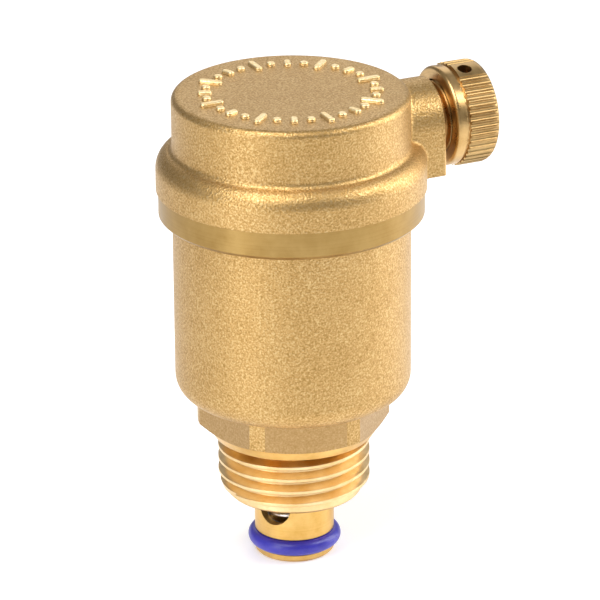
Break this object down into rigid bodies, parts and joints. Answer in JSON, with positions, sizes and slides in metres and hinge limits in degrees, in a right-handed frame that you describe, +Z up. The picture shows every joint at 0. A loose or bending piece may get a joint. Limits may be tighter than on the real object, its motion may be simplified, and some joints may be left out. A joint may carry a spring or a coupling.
{
  "type": "automatic air vent",
  "caption": "Brass float-type automatic air vent with a side discharge boss, knurled cap and screwed-on shut-off valve with a threaded inlet and a sealed plunger.",
  "frame": {"origin": "on the vent's axis, in the plane of the sealing shoulder where the inlet thread meets the hexagon", "axes": "+Z up along the vent's axis, from the inlet thread towards the lid; +X along the discharge boss, towards the knurled cap; +Y completes the frame"},
  "size_m": [0.0466, 0.0366, 0.0675],
  "materials": {
    "blasted_brass": "sand-blasted forging",
    "turned_brass": "turned, satin",
    "knurled_brass": "turned and fluted",
    "stainless": "cold rolled, satin",
    "spring_steel": "drawn wire",
    "black_rubber": "moulded EPDM",
    "blue_rubber": "moulded, slight gloss",
    "fibre": "pressed sealing fibre",
    "float_plastic": "moulded polypropylene"
  },
  "bodies": {
    "root": {"lower_housing": "blasted_brass", "housing_neck": "turned_brass", "cover": "blasted_brass", "cover_seal": "black_rubber", "outlet_nozzle": "turned_brass", "nozzle_seal": "fibre", "nozzle_locknut": "turned_brass", "lever_bracket": "stainless", "lever_pivot_pin": "stainless", "pivot_pin_clip": "spring_steel", "shutoff_body": "turned_brass", "body_seal": "fibre"},
    "lever": {"valve_lever": "turned_brass", "valve_pad": "black_rubber"},
    "float": {"float_shell": "float_plastic", "float_base": "float_plastic", "float_link": "stainless"},
    "cap_travel": {"cap_washer": "black_rubber"},
    "cap": {"outlet_cap": "knurled_brass"},
    "plunger": {"shutoff_plunger": "turned_brass", "plunger_oring": "blue_rubber", "shutoff_spring": "spring_steel"}
  },
  "joints": [
    {"name": "lever_swing", "type": "hinge", "parent": "root", "child": "lever", "pos_m": [0.0092, 0, 0.0382], "axis": [0, 1, 0], "range_deg": [0, 14]},
    {"name": "float_hang", "type": "hinge", "parent": "lever", "child": "float", "pos_m": [0, 0, 0.03707], "axis": [0, 1, 0], "range_deg": [-14, 0]},
    {"name": "cap_slide", "type": "slide", "parent": "root", "child": "cap_travel", "axis": [1, 0, 0], "range_m": [0, 0.0015]},
    {"name": "cap_turn", "type": "hinge", "parent": "cap_travel", "child": "cap", "pos_m": [0, 0, 0.04229], "axis": [1, 0, 0], "range_deg": [0, 540]},
    {"name": "plunger_lift", "type": "slide", "parent": "root", "child": "plunger", "axis": [0, 0, 1], "range_m": [0, 0.0069], "stiffness_N_per_m": 300, "springref_m": -0.004, "deforming": ["shutoff_spring"]}
  ],
  "couplings": [
    {"joint": "float_hang", "follows": "lever_swing", "ratio": -1},
    {"joint": "cap_slide", "follows": "cap_turn", "m_per_rad": 0.00015915}
  ]
}
